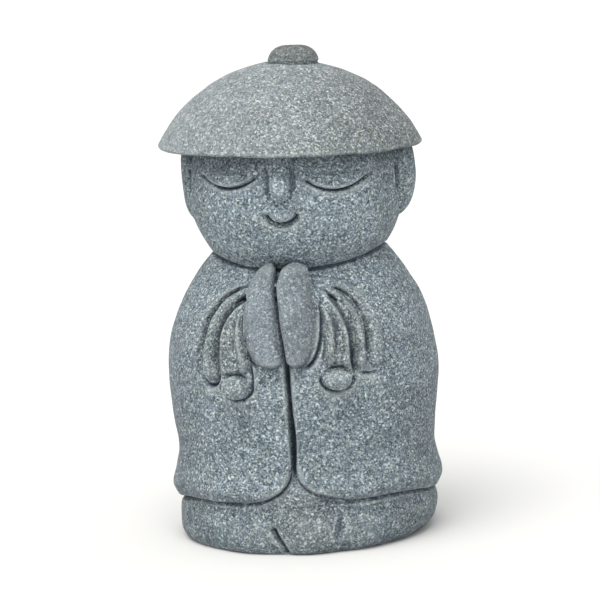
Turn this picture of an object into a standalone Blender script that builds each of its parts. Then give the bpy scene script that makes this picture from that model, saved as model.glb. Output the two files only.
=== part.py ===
"""Monk figurine: one solid casting of a praying monk in a round hat.

Metres, +Z up, the face towards -Y, the viewer's left at -X, the origin at the middle of the underside.
The figure is a chain: the under-robe carries the cloak, the cloak's neck ring carries the head, the
head carries the hat and the hat carries its knob. The hands and the sleeve folds hang from the neck
ring's height and lie on the cloak's front.
"""

import math

import bmesh
import bpy
from mathutils import Matrix, Vector

MM = 0.001
MERGE_DISTANCE = 0.01 * MM

# Under-robe, the round foot of the figure
ROBE_RADIUS = 26.6 * MM
ROBE_EDGE_DROP = 3.0 * MM        # height of the rounded lower edge
ROBE_EDGE_INSET = 1.9 * MM       # how far that edge comes in at the underside
ROBE_EDGE_WEAR = 1.8 * MM        # how much further it comes in at the viewer's right
TOE_CREASE_X = 9.4 * MM
TOE_CREASE_RADIUS = 0.75 * MM
NOTCH_X = -3.4 * MM
NOTCH_HEIGHT = 5.4 * MM
NOTCH_LEAN = 1.6 * MM
NOTCH_RADIUS = 0.6 * MM

# Cloak, from the hem to the ring where it meets the head
CLOAK_OVERHANG = 1.15 * MM       # how far the widest ring of the cloak stands out past the robe
CLOAK_RADIUS = ROBE_RADIUS + CLOAK_OVERHANG
HEM_HEIGHT = 8.7 * MM
NECK_HEIGHT = 58.8 * MM
CLOAK_THICKNESS = 1.5 * MM       # step from the cloak to the under-robe, below the hem and in the opening
SHOULDER_SHIFT = 0.45 * MM       # of the neck ring towards the viewer's right
SLIT_WIDTH = 0.9 * MM
OPENING_WIDTH = 23.4 * MM        # across the opening at the hem
OPENING_RISE = 10.4 * MM         # from the hem to where the slit begins

# Head
HEAD_RADIUS = 22.1 * MM
EAR_LENGTH = 18.5 * MM
EAR_WIDTH = 9.0 * MM
EAR_PROUD = 1.4 * MM             # of the viewer's left ear
EAR_FLARE = 1.1 * MM             # how much further the viewer's right ear stands out
NOSE_WIDTH = 4.6 * MM
NOSE_LENGTH = 8.2 * MM
NOSE_PROUD = 1.9 * MM
LINE_RADIUS = 0.55 * MM          # of the grooves that draw the eyes and the mouth
EYE_WIDTH = 13.2 * MM
EYE_SAG = 2.9 * MM
EYE_SPACING = 22.6 * MM          # from the middle of one eye to the middle of the other
EYE_RISE = 3.65 * MM             # of the eyes' corners above the head's middle
MOUTH_WIDTH = 6.4 * MM
MOUTH_SAG = 2.9 * MM
MOUTH_DROP = 2.9 * MM            # of the mouth's corners below the head's middle

# Hat and knob
HAT_RADIUS = 26.9 * MM
HAT_RISE = 16.5 * MM
HAT_SEAT = 8.2 * MM              # of the brim above the head's middle
BRIM_ROUNDING = 1.2 * MM
HAT_TILT = math.radians(1.2)
HAT_SHIFT = -0.75 * MM           # of the hat's middle from the head's
KNOB_RADIUS = 5.4 * MM
KNOB_RISE = 3.0 * MM
KNOB_SHIFT = 1.1 * MM            # of the knob's middle from the hat's

# Hands, palm to palm in front of the chest, leaning back to the chin
HAND_LENGTH = 19.6 * MM
HAND_WIDTH = 7.5 * MM
HAND_DROP = 0.6 * MM             # of the finger tips below the neck ring
HAND_REACH = 26.2 * MM           # of the heels of the hands in front of the figure's middle
HAND_LEAN = 6.2 * MM             # how much less the finger tips reach forward
HAND_TILT = 1.1 * MM             # of the finger tips towards the viewer's left

# Sleeve folds: half their span, how far below the neck ring they leave the hands and end, their radius
FOLDS = (
    (19.4 * MM, 2.8 * MM, 21.6 * MM, 1.00 * MM),
    (16.4 * MM, 3.9 * MM, 22.9 * MM, 1.35 * MM),
    (12.4 * MM, 5.4 * MM, 22.4 * MM, 1.15 * MM),
    (8.5 * MM, 8.3 * MM, 22.0 * MM, 1.00 * MM),
)
CUFF_X = 10.1 * MM
CUFF_DROP = 24.4 * MM            # of the cuff balls below the neck ring
CUFF_RADIUS = 2.75 * MM

# Outline of the cloak: share of the way from hem to neck ring, share of the cloak's radius
CLOAK_OUTLINE = (
    (0.000, 0.962), (0.050, 1.002), (0.120, 0.975), (0.200, 0.950), (0.350, 0.981), (0.500, 1.000),
    (0.640, 0.972), (0.740, 0.920), (0.837, 0.842), (0.918, 0.747), (1.000, 0.634),
)
BACK_DEPTH = 0.97                # depth of the cloak's back, as a share of its width
CHEST_DEPTH = 0.96               # the same for its front, below the hands
THROAT_DEPTH = 0.74              # and at the neck ring, where the front dips under the chin
CHEST_SHARE = 0.72               # where the front starts to dip, on the way from hem to neck ring

# Outline of a hand: share of the way from heel to finger tips, share of its half width
HAND_OUTLINE = ((0.00, 0.30), (0.10, 0.72), (0.40, 1.00), (0.62, 0.93), (0.90, 0.60), (1.00, 0.25))

# Fineness of the facets
TURNS = 48
TUBE_SIDES = 2
BEND_STEPS = 9
STONE_COLOUR = (0.30, 0.34, 0.36, 1.0)
STONE_ROUGHNESS = 0.9


def clear_scene():
    for old in list(bpy.data.objects):
        bpy.data.objects.remove(old, do_unlink=True)


def new_collection(name):
    group = bpy.data.collections.new(name)
    bpy.context.scene.collection.children.link(group)
    return group


def add_mesh(name, mesh, group):
    mesh.shade_smooth()
    piece = bpy.data.objects.new(name, mesh)
    group.objects.link(piece)
    return piece


def made_mesh(source, name, group):
    """The evaluated shape of an object as a mesh object of its own, with its ends welded."""
    bpy.context.view_layer.update()
    graph = bpy.context.evaluated_depsgraph_get()
    mesh = bpy.data.meshes.new_from_object(source.evaluated_get(graph))
    mesh.transform(source.matrix_world)
    work = bmesh.new()
    work.from_mesh(mesh)
    bmesh.ops.remove_doubles(work, verts=work.verts, dist=0.002 * MM)
    bmesh.ops.recalc_face_normals(work, faces=work.faces)
    work.to_mesh(mesh)
    work.free()
    bpy.data.objects.remove(source, do_unlink=True)
    return add_mesh(name, mesh, group)


def turned(name, outline, group):
    """A solid of revolution about Z; the outline runs from the axis at the top down to the axis below."""
    mesh = bpy.data.meshes.new(name)
    mesh.from_pydata([(r, 0.0, z) for r, z in outline], [(i, i + 1) for i in range(len(outline) - 1)], [])
    profile = add_mesh(name + "_profile", mesh, group)
    screw = profile.modifiers.new("Turn", "SCREW")
    screw.axis = "Z"
    screw.steps = screw.render_steps = TURNS
    screw.use_merge_vertices = True
    screw.merge_threshold = MERGE_DISTANCE
    return made_mesh(profile, name, group)


def rope(name, points, radii, group):
    """A round rod through the points, as thick at each as its radius there."""
    curve = bpy.data.curves.new(name, "CURVE")
    curve.dimensions = "3D"
    curve.bevel_depth = 1.0
    curve.bevel_resolution = TUBE_SIDES
    curve.use_fill_caps = True
    line = curve.splines.new("POLY")
    line.points.add(len(points) - 1)
    for knot, place, radius in zip(line.points, points, radii):
        knot.co = (*place, 1.0)
        knot.radius = radius
    source = bpy.data.objects.new(name + "_line", curve)
    group.objects.link(source)
    return made_mesh(source, name, group)


def ball(name, radius, stretch, place, group, segments=16, rings=11):
    """A round ball, drawn out along its own axes by the three shares of stretch."""
    mesh = bpy.data.meshes.new(name)
    work = bmesh.new()
    bmesh.ops.create_uvsphere(work, u_segments=segments, v_segments=rings, radius=radius)
    bmesh.ops.scale(work, vec=stretch, verts=work.verts)
    bmesh.ops.translate(work, vec=place, verts=work.verts)
    work.to_mesh(mesh)
    work.free()
    return add_mesh(name, mesh, group)


def clamp01(share):
    return min(max(share, 0.0), 1.0)


def ease(share):
    """From 0 to 1 with a level start and a level end."""
    t = clamp01(share)
    return t * t * (3 - 2 * t)


def smooth_through(knots, at):
    """Height of the soft curve through the knots, whose slope at each is that of its neighbours' chord."""
    last = len(knots) - 1
    i = next((k for k in range(last) if at <= knots[k + 1][0]), last - 1)
    (x0, y0), (x1, y1) = knots[i], knots[i + 1]
    before = knots[max(i - 1, 0)]
    after = knots[min(i + 2, last)]
    span = x1 - x0
    slope0 = (y1 - before[1]) / (x1 - before[0]) * span
    slope1 = (after[1] - y0) / (after[0] - x0) * span
    t = (at - x0) / span
    return (
        y0 * (1 + 2 * t) * (1 - t) ** 2 + slope0 * t * (1 - t) ** 2
        + y1 * t * t * (3 - 2 * t) + slope1 * t * t * (t - 1)
    )


def cloak_share(z):
    """How far up the cloak a height is: 0 at the hem, 1 at the neck ring."""
    return clamp01((z - HEM_HEIGHT) / (NECK_HEIGHT - HEM_HEIGHT))


def cloak_radius(z):
    return CLOAK_RADIUS * smooth_through(CLOAK_OUTLINE, cloak_share(z))


def front_depth(z):
    """Depth of the front as a share of the width: it eases from the chest to the throat."""
    dip = ease((cloak_share(z) - CHEST_SHARE) / (1 - CHEST_SHARE))
    return CHEST_DEPTH + (THROAT_DEPTH - CHEST_DEPTH) * dip


def shoulder_shift(z):
    return SHOULDER_SHIFT * cloak_share(z) ** 4


def cloak_front(x, z):
    """The point of the cloak's front that stands at a width x and a height z."""
    reach = math.sqrt(max(cloak_radius(z) ** 2 - (x - shoulder_shift(z)) ** 2, 0.0))
    return Vector((x, -front_depth(z) * reach, z))


def set_depth(piece):
    """Draws a turned solid in, front and back, to the depth of the figure, and shifts its shoulders."""
    for vertex in piece.data.vertices:
        y = vertex.co.y
        vertex.co.y = y * (front_depth(vertex.co.z) if y < 0 else BACK_DEPTH)
        vertex.co.x += shoulder_shift(vertex.co.z)


def make_cloak(group):
    """The cloak as a full round body, closed off inside the head."""
    rows = 21
    heights = [NECK_HEIGHT - (NECK_HEIGHT - HEM_HEIGHT) * i / rows for i in range(rows + 1)]
    top = NECK_HEIGHT + CLOAK_THICKNESS
    outline = [(0.0, top), (cloak_radius(NECK_HEIGHT) - 2 * CLOAK_THICKNESS, top)]
    outline += [(cloak_radius(z), z) for z in heights]
    outline += [(0.0, HEM_HEIGHT)]
    cloak = turned("cloak", outline, group)
    set_depth(cloak)
    return cloak


def opening_side():
    """Right half of the opening's outline: the slit's side, the rounded corner, and down past the hem."""
    fullness = 1.4
    half_slit = SLIT_WIDTH / 2
    half_open = OPENING_WIDTH / 2
    side = [(half_slit, hand_foot())]
    for i in range(BEND_STEPS + 1):
        angle = math.pi / 2 * i / BEND_STEPS
        x = half_open - (half_open - half_slit) * math.cos(angle) ** fullness
        side.append((x, HEM_HEIGHT + OPENING_RISE * (1 - math.sin(angle) ** fullness)))
    side.append((half_open, HEM_HEIGHT - 2 * CLOAK_THICKNESS))
    return side


def make_opening(group):
    """The cutter for the front opening: a slit that spreads into two rounded corners at the hem."""
    side = opening_side()
    outline = side + [(-x, z) for x, z in reversed(side)]
    curve = bpy.data.curves.new("opening", "CURVE")
    curve.dimensions = "2D"
    curve.fill_mode = "BOTH"
    curve.extrude = CLOAK_RADIUS / 4
    line = curve.splines.new("POLY")
    line.use_cyclic_u = True
    line.points.add(len(outline) - 1)
    for knot, (x, z) in zip(line.points, outline):
        knot.co = (x, z, 0.0, 1.0)
    source = bpy.data.objects.new("opening_outline", curve)
    source.rotation_euler.x = math.pi / 2
    source.location.y = -CLOAK_RADIUS
    group.objects.link(source)
    return made_mesh(source, "opening", group)


def wear_edge(robe):
    """Brings the lower edge further in towards the viewer's right, and less so the higher it is."""
    high = 2 * ROBE_EDGE_DROP
    for vertex in robe.data.vertices:
        reach = math.hypot(vertex.co.x, vertex.co.y)
        if reach < ROBE_RADIUS / 2 or vertex.co.z > high:
            continue
        turn = max(vertex.co.x / reach, 0.0)
        inset = ROBE_EDGE_WEAR * turn * (1 - vertex.co.z / high) ** 2
        vertex.co.x *= 1 - inset / reach
        vertex.co.y *= 1 - inset / reach


def make_robe(group):
    """The under-robe: the rounded foot below the hem, and the body that shows in the opening."""
    edge_steps = 5
    rows = 6
    inner_top = (hand_foot() + NECK_HEIGHT) / 2
    inner_foot = HEM_HEIGHT + 2 * CLOAK_THICKNESS
    heights = [inner_top - (inner_top - inner_foot) * i / rows for i in range(rows + 1)]
    outline = [(0.0, inner_top)] + [(cloak_radius(z) - CLOAK_THICKNESS, z) for z in heights]
    outline += [(ROBE_RADIUS, HEM_HEIGHT)]
    for i in range(edge_steps + 1):
        angle = math.pi / 2 * i / edge_steps
        inset = ROBE_EDGE_INSET * (1 - math.cos(angle))
        outline.append((ROBE_RADIUS - inset, ROBE_EDGE_DROP * (1 - math.sin(angle))))
    outline += [(0.0, 0.0)]
    robe = turned("robe", outline, group)
    wear_edge(robe)
    set_depth(robe)
    return robe


def head_centre():
    """The head sinks into the neck ring as deep as the ring's width lets it."""
    ring = min(cloak_radius(NECK_HEIGHT), HEAD_RADIUS)
    rise = math.sqrt(HEAD_RADIUS ** 2 - ring ** 2)
    return Vector((SHOULDER_SHIFT / 2, 0.0, NECK_HEIGHT + rise))


def on_head(x, z, proud=0.0):
    """The point of the face at a width x and a height z from the head's middle, raised by proud."""
    reach = math.sqrt(max(HEAD_RADIUS ** 2 - x * x - z * z, 0.0))
    return head_centre() + Vector((x, -reach, z)) * (1 + proud / HEAD_RADIUS)


def make_ears(group):
    """Long flat lobes that run up under the brim."""
    ears = []
    for side, proud in ((-1, EAR_PROUD), (1, EAR_PROUD + EAR_FLARE)):
        place = head_centre() + Vector((side * (HEAD_RADIUS - proud), EAR_WIDTH / 25, EAR_LENGTH / 12))
        stretch = (4 * proud / EAR_LENGTH, EAR_WIDTH / EAR_LENGTH, 1.0)
        ears.append(ball("ear", EAR_LENGTH / 2, stretch, place, group))
    return ears


def make_nose(group):
    """A narrow bridge that swells to the tip; its top starts at the brow and its end is rounded off."""
    steps = 6
    bridge_share = 0.62
    top = 0.88 * NOSE_LENGTH
    points = []
    radii = []
    for i in range(steps + 1):
        t = i / steps
        radius = NOSE_WIDTH / 2 * (bridge_share + (1 - bridge_share) * ease(t))
        points.append(on_head(NOSE_WIDTH / 7, top - NOSE_LENGTH * t, NOSE_PROUD * (1 + 3 * t) / 4 - radius))
        radii.append(radius * (bridge_share if i in (0, steps) else 1.0))
    return rope("nose", points, radii, group)


def face_line(name, middle, height, width, sag, roundness, group):
    """A groove that hangs between two corners: a slack string, or an oval where it is rounder."""
    steps = 8
    points = []
    radii = []
    for i in range(steps + 1):
        t = 2 * i / steps - 1
        points.append(on_head(middle + t * width / 2, height - sag * (1 - t * t) ** roundness))
        radii.append(LINE_RADIUS * (1 - 0.6 * t ** 4))
    return rope(name, points, radii, group)


def hat_place(shift):
    """Where the hat sits on the head, tilted a little to the viewer's right."""
    seat = head_centre() + Vector((shift, 0.0, HAT_SEAT))
    return Matrix.Translation(seat) @ Matrix.Rotation(HAT_TILT, 4, "Y")


def make_hat(group):
    """A cap of a sphere, with a rounded brim and an underside that is a little hollow."""
    rows = 10
    dome = (HAT_RADIUS ** 2 + HAT_RISE ** 2) / (2 * HAT_RISE)
    edge = math.atan2(HAT_RADIUS, dome - HAT_RISE)
    outline = [(0.0, HAT_RISE)]
    for i in range(1, rows):
        angle = edge * i / rows
        outline.append((dome * math.sin(angle), HAT_RISE - dome * (1 - math.cos(angle))))
    outline += [(HAT_RADIUS - 0.1 * BRIM_ROUNDING, 0.3 * BRIM_ROUNDING)]
    outline += [(HAT_RADIUS, -0.3 * BRIM_ROUNDING), (HAT_RADIUS - 0.4 * BRIM_ROUNDING, -0.8 * BRIM_ROUNDING)]
    outline += [(HAT_RADIUS - 1.3 * BRIM_ROUNDING, -BRIM_ROUNDING), (0.8 * HAT_RADIUS, -0.4 * BRIM_ROUNDING)]
    outline += [(0.0, 0.0)]
    hat = turned("hat", outline, group)
    hat.data.transform(hat_place(HAT_SHIFT))
    return hat


def make_knob(group):
    """A low button on the crown of the hat."""
    steps = 6
    sunk = 0.4 * KNOB_RISE
    outline = [(0.0, HAT_RISE + KNOB_RISE)]
    for i in range(1, steps + 1):
        angle = math.pi / 2 * i / steps
        rise = (KNOB_RISE + sunk) * math.cos(angle) ** 0.6
        outline.append((KNOB_RADIUS * math.sin(angle) ** 1.2, HAT_RISE - sunk + rise))
    outline += [(0.95 * KNOB_RADIUS, HAT_RISE - 2 * sunk), (0.0, HAT_RISE - 2 * sunk)]
    knob = turned("knob", outline, group)
    knob.data.transform(hat_place(HAT_SHIFT + KNOB_SHIFT))
    return knob


def hand_foot():
    """Where the heels of the hands end, and the slit of the cloak begins."""
    return NECK_HEIGHT - HAND_DROP - HAND_LENGTH


def hand_axis(t):
    """Middle line of the joined hands at share t of the way from the heels to the finger tips."""
    return Vector((-HAND_TILT * t, -HAND_REACH + HAND_LEAN * t, hand_foot() + HAND_LENGTH * t))


def make_hands(group):
    """Two leaves with straight inner edges, each thickest below its middle."""
    steps = 12
    press = HAND_WIDTH / 35
    hands = []
    for side in (-1, 1):
        points = []
        radii = []
        for i in range(steps + 1):
            t = i / steps
            radius = HAND_WIDTH / 2 * smooth_through(HAND_OUTLINE, t)
            points.append(hand_axis(t) + Vector((side * (radius - press), 0.0, 0.0)))
            radii.append(radius)
        hands.append(rope("hand", points, radii, group))
    return hands


def make_wrists(group):
    """The sleeves' mass behind the hands, which joins them to the chest all the way up."""
    steps = 6
    behind = Vector((0.0, 0.62 * HAND_WIDTH, 0.0))
    points = [hand_axis(i / steps) + behind for i in range(steps + 1)]
    radii = [0.66 * HAND_WIDTH * (1 - 0.35 * i / steps) for i in range(steps + 1)]
    return rope("wrists", points, radii, group)


def make_folds(group):
    """Sleeve folds: each leaves the hands, swings out in a quarter oval and hangs straight down."""
    start = 0.7 * HAND_WIDTH
    folds = []
    for side in (-1, 1):
        for span, top_drop, end_drop, radius in FOLDS:
            top = NECK_HEIGHT - top_drop
            end = NECK_HEIGHT - end_drop
            turn = end + 0.08 * (top - end)
            points = []
            for i in range(BEND_STEPS + 1):
                angle = math.pi / 2 * i / BEND_STEPS
                x = side * (start + (span - start) * math.sin(angle))
                points.append(cloak_front(x, turn + (top - turn) * math.cos(angle)))
            points.append(cloak_front(side * span, end))
            folds.append(rope("fold", points, [radius] * len(points), group))
        place = cloak_front(side * CUFF_X, NECK_HEIGHT - CUFF_DROP)
        folds.append(ball("cuff", CUFF_RADIUS, (1.0, 0.9, 1.0), place, group))
    return folds


def on_robe(x, z, proud=0.0):
    """The point of the under-robe's front at a width x and a height z, raised by proud."""
    reach = math.sqrt(max(ROBE_RADIUS ** 2 - x * x, 0.0))
    return Vector((x, -CHEST_DEPTH * reach - proud, z))


def make_grooves(group):
    """Cutters for the split of the hands, the eyes, the mouth, the toe crease and the notch."""
    steps = 8
    in_front = Vector((0.0, -0.2 * HAND_WIDTH, 0.0))
    ridge = [hand_axis(i / steps) + in_front for i in range(-1, steps + 2)]
    grooves = [rope("split", ridge, [0.65 * SLIT_WIDTH] * len(ridge), group)]
    for side in (-1, 1):
        middle = side * EYE_SPACING / 2
        grooves.append(face_line("eye", middle, EYE_RISE, EYE_WIDTH, EYE_SAG, 1.0, group))
    grooves.append(face_line("mouth", 0.0, -MOUTH_DROP, MOUTH_WIDTH, MOUTH_SAG, 0.6, group))
    toe = [on_robe(TOE_CREASE_X, share * HEM_HEIGHT, 0.3 * TOE_CREASE_RADIUS) for share in (0.2, 0.95)]
    grooves.append(rope("crease", toe, [TOE_CREASE_RADIUS] * 2, group))
    low = on_robe(NOTCH_X + NOTCH_LEAN / 2, -NOTCH_RADIUS, -ROBE_EDGE_INSET / 2)
    high = on_robe(NOTCH_X - NOTCH_LEAN / 2, NOTCH_HEIGHT, NOTCH_RADIUS / 2)
    grooves.append(rope("notch", [low, high], [1.5 * NOTCH_RADIUS, 0.6 * NOTCH_RADIUS], group))
    return grooves


def stone():
    material = bpy.data.materials.new("cast_stone")
    material.use_nodes = True
    shader = material.node_tree.nodes["Principled BSDF"]
    shader.inputs["Base Color"].default_value = STONE_COLOUR
    shader.inputs["Roughness"].default_value = STONE_ROUGHNESS
    shader.inputs["Metallic"].default_value = 0.0
    return material


def combine(piece, others, operation):
    for other in others:
        step = piece.modifiers.new(other.name, "BOOLEAN")
        step.operation = operation
        step.solver = "EXACT"
        step.object = other
        other.hide_render = True
        other.display_type = "WIRE"


def make_figurine():
    clear_scene()
    figure = new_collection("monk_figurine")
    forms = new_collection("forms_and_cutters")
    body = make_cloak(figure)
    body.name = "monk_figurine"
    body.data.name = "monk_figurine"
    head = ball("head", HEAD_RADIUS, (1.0, 1.0, 1.0), head_centre(), forms, segments=40, rings=22)
    combine(body, [make_opening(forms)], "DIFFERENCE")
    combine(body, [make_robe(forms), head, make_hat(forms), make_knob(forms)], "UNION")
    combine(body, make_ears(forms) + [make_nose(forms)] + make_hands(forms), "UNION")
    combine(body, [make_wrists(forms)] + make_folds(forms), "UNION")
    combine(body, make_grooves(forms), "DIFFERENCE")
    body.data.materials.append(stone())
    return body


make_figurine()
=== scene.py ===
import math

import bmesh
import bpy
import numpy as np
from mathutils import Matrix, Vector


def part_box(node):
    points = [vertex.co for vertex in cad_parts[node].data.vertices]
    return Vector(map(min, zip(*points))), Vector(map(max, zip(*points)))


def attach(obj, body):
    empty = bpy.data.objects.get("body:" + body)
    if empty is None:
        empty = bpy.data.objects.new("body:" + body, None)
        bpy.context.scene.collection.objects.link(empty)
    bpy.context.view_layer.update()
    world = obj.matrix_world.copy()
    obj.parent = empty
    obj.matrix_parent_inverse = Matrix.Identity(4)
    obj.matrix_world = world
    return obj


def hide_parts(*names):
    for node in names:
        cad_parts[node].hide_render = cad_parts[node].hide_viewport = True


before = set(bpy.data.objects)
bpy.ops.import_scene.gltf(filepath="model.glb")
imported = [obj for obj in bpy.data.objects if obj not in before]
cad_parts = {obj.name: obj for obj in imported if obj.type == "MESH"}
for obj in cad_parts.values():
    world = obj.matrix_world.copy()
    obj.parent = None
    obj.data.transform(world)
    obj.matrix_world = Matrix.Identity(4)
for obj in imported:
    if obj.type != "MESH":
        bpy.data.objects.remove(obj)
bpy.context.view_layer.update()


# The under-robe is the round foot that the figure stands on. It is cast in one with the rest, in stone
# powder and resin, and its front swells over the toes, with a crease and a small notch between them.
drawn_height = 99.9
figure_low, figure_high = (Vector(corner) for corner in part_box("monk_figurine"))
mm = (figure_high.z - figure_low.z) / drawn_height

robe_radius = 26.6 * mm
robe_foot_drop, robe_foot_inset = 3.0 * mm, 1.9 * mm
robe_wear, robe_wear_height = 1.9 * mm, 2.2 * robe_foot_drop
# Heights on the robe's side, and how far each lies inside the robe's radius.
robe_side = ((4.2, 0.00), (5.4, 0.02), (6.6, 0.12), (7.6, 0.40), (8.7, 0.75), (10.0, 0.60))
robe_inside_low, robe_inside_high = 11.4 * mm, 49 * mm
chest_depth, throat_depth, back_depth = 0.96, 0.74, 0.97
hem_height, neck_height = 8.7 * mm, 58.8 * mm
chest_share = 0.72
shoulder_shift = 0.45 * mm
toe_swell, toe_height, toe_reach = 1.0 * mm, 3.2 * mm, 7.0 * mm
# Middle, half width and share of the full swell of each mound over the toes.
toe_mounds = ((3.4, 6.4, 1.00), (-9.5, 6.5, 0.55), (14.5, 5.6, 0.65))
cloak_radius_full = 27.75 * mm
cloak_thickness = 1.8 * mm
# Shares of the way from hem to neck, and of the cloak's full radius there.
cloak_outline = (
    (0.000, 0.962), (0.050, 1.002), (0.120, 0.975), (0.200, 0.950), (0.350, 0.981), (0.500, 1.000),
    (0.640, 0.972), (0.740, 0.920), (0.837, 0.842), (0.918, 0.747), (1.000, 0.634),
)


def soft_curve(knots, at):
    """Cubic Hermite curve through the knots, whose slope at a knot is the chord between its neighbours."""
    x, y = np.asarray(knots, float).T
    slope = np.gradient(y, x)
    slope[1:-1] = (y[2:] - y[:-2]) / (x[2:] - x[:-2])
    i = np.clip(np.searchsorted(x, at, side="right") - 1, 0, len(x) - 2)
    h = x[i + 1] - x[i]
    t = np.clip((at - x[i]) / h, 0, 1)
    rise = y[i] * (1 + 2 * t) * (1 - t) ** 2 + slope[i] * h * t * (1 - t) ** 2
    return rise + y[i + 1] * t * t * (3 - 2 * t) + slope[i + 1] * h * t * t * (t - 1)


def through(knots, count=36):
    """Smooth line through knots in millimetres: both columns as soft curves over the knots' order."""
    knots = np.asarray(knots, float)
    order = np.arange(len(knots))
    t = np.linspace(0, len(knots) - 1, count)
    return np.stack([soft_curve(np.stack([order, column], -1), t) for column in knots.T], -1) * mm


def ease(t):
    """From 0 to 1 with level ends: three t squared less two t cubed."""
    t = np.clip(t, 0, 1)
    return t * t * (3 - 2 * t)


def bell(t):
    """From 1 in the middle to 0 at t = 1 either way: the square of one less t squared."""
    return np.clip(1 - t * t, 0, 1) ** 2


def stone_form(name, grid):
    """Closed mesh of a grid of points: its rows run upwards, its columns run round from the front towards
    the viewer's right, and each end row closes on a pole in its middle."""
    rows, columns = grid.shape[:2]
    points = np.concatenate([grid.reshape(-1, 3), grid[:1].mean(1), grid[-1:].mean(1)])
    start = np.arange(rows - 1)[:, None] * columns
    here = np.arange(columns)
    beside = (here + 1) % columns
    sides = np.stack([start + here, start + beside, start + columns + beside, start + columns + here], -1)
    last = (rows - 1) * columns
    low = np.stack([beside, here, np.full(columns, rows * columns)], -1)
    high = np.stack([last + here, last + beside, np.full(columns, rows * columns + 1)], -1)
    mesh = bpy.data.meshes.new(name)
    mesh.from_pydata(points, [], sides.reshape(-1, 4).tolist() + low.tolist() + high.tolist())
    return placed(name, mesh)


def placed(name, data):
    """A new object in the scene for a mesh, a lamp or a camera."""
    piece = bpy.data.objects.new(name, data)
    bpy.context.scene.collection.objects.link(piece)
    return piece


def ring_angles(columns):
    """Angles evenly spaced round one turn, the first at the front."""
    return np.linspace(0, 2 * np.pi, columns, endpoint=False)


def figure_share(z):
    """Share of the way up from the hem to the neck."""
    return np.clip((z - hem_height) / (neck_height - hem_height), 0, 1)


def front_depth(z):
    """Depth of the front as a share of its width: it eases from the chest to the throat."""
    dip = ease((figure_share(z) - chest_share) / (1 - chest_share))
    return chest_depth + (throat_depth - chest_depth) * dip


def cloak_radius(z):
    """The full radius times the outline's share at that height."""
    return cloak_radius_full * soft_curve(cloak_outline, figure_share(z))


def body_points(angle, radius, z):
    """Points of the body at an angle from the front, a radius and a height: an oval that is flatter in front
    than behind, whose shoulders stand a little to the viewer's right."""
    across = radius * np.sin(angle)
    forward = radius * np.cos(angle)
    depth = np.where(forward > 0, front_depth(z), back_depth)
    x = across + shoulder_shift * figure_share(z) ** 4
    return np.stack([x, -forward * depth, z + 0 * x], -1)


def toes(x, z):
    """Swell of the front over the toes: a sum of bells either side of the crease, highest near the ground."""
    mounds = sum(share * bell((x - middle * mm) / (half * mm)) for middle, half, share in toe_mounds)
    return toe_swell * mounds * bell((z - toe_height) / toe_reach)


def make_under_robe():
    """Radius over height: a quarter oval at the foot, upright to the hem, a little drawn in under it and then
    the cloak's own outline less its thickness; the foot comes in further at the viewer's right."""
    angle = ring_angles(300)[None, :]
    turn = np.linspace(0, np.pi / 2, 14)
    foot_z = robe_foot_drop * (1 - np.cos(turn))
    foot_radius = robe_radius - robe_foot_inset * (1 - np.sin(turn))
    side_z, side_inset = np.array(robe_side).T * mm
    inner_z = np.linspace(robe_inside_low, robe_inside_high, 60)
    inner_radius = cloak_radius(inner_z) - cloak_thickness
    z = np.concatenate([foot_z, side_z, inner_z])[:, None]
    radius = np.concatenate([foot_radius, robe_radius - side_inset, inner_radius])[:, None]
    wear = robe_wear * np.clip(np.sin(angle), 0, 1) * np.clip(1 - z / robe_wear_height, 0, 1) ** 2
    swell = toes(robe_radius * np.sin(angle), z) * (np.cos(angle) > 0)
    return stone_form("under_robe", body_points(angle, radius - wear + swell, z))


# The cloak is the figure's main mass: shoulders, a full belly and a flared hem that stands proud of the
# under-robe. Its two front edges meet in a narrow slit and part in round corners above the feet.
opening_edges = {
    -1: (
        (-0.32, 41.0), (-0.40, 33.0), (-0.50, 26.0), (-0.58, 20.0), (-0.64, 17.4), (-1.10, 15.3), (-2.3, 13.6),
        (-4.0, 12.3), (-6.4, 11.1), (-9.0, 10.45), (-12.0, 9.9), (-13.5, 8.8), (-14.0, 6.0),
    ),
    1: (
        (0.32, 41.0), (0.40, 33.0), (0.50, 26.0), (0.58, 20.0), (0.68, 17.4), (1.20, 15.3), (2.6, 13.8),
        (4.4, 12.7), (6.8, 11.8), (9.4, 11.0), (12.4, 10.2), (13.6, 9.0), (14.0, 6.0),
    ),
}
edge_round, edge_sink = 1.6 * mm, 0.40 * mm
slit_drift = ((17, 0.35), (24, 0.60), (38.5, 0.10))
hem_front_rise, hem_drop, hem_tilt = 2.1, 0.4, 0.35
cloak_cap_radius, cloak_cap_rise = 13 * mm, 1.5 * mm
cutter_front, cutter_back = -36 * mm, -18 * mm


def slit_middle(z):
    """The slit drifts a little towards the viewer's right on its way down from the heels of the hands."""
    return np.interp(z, *(np.array(slit_drift).T * mm))


def opening_outline(side):
    """One edge of the opening: down the slit, round a corner and out under the hem."""
    x, z = through(opening_edges[side], 90).T
    return np.stack([x + slit_middle(z), z], -1)


def hem_line(angle):
    """Height of the hem: eased up in front by the cosine of the angle, and tilted sideways by its sine."""
    front = ease((np.cos(angle) + 0.05) / 0.8)
    return hem_height + (hem_front_rise * front - hem_drop + hem_tilt * np.sin(angle)) * mm


def distance_to_line(points, line):
    """Least distance from each point to a chain of straight stretches, in as many axes as both have, and how
    far along the chain its nearest point is from the nearer end."""
    nearest, travel, gone = np.full(len(points), np.inf), np.zeros(len(points)), 0.0
    for a, b in zip(line[:-1], line[1:]):
        step = b - a
        share = np.clip((points - a) @ step / (step @ step), 0, 1)
        distance = np.linalg.norm(points - a - share[:, None] * step, axis=1)
        closer = distance < nearest
        nearest[closer] = distance[closer]
        travel[closer] = gone + share[closer] * np.linalg.norm(step)
        gone += np.linalg.norm(step)
    return nearest, np.minimum(travel, gone - travel)


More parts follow.
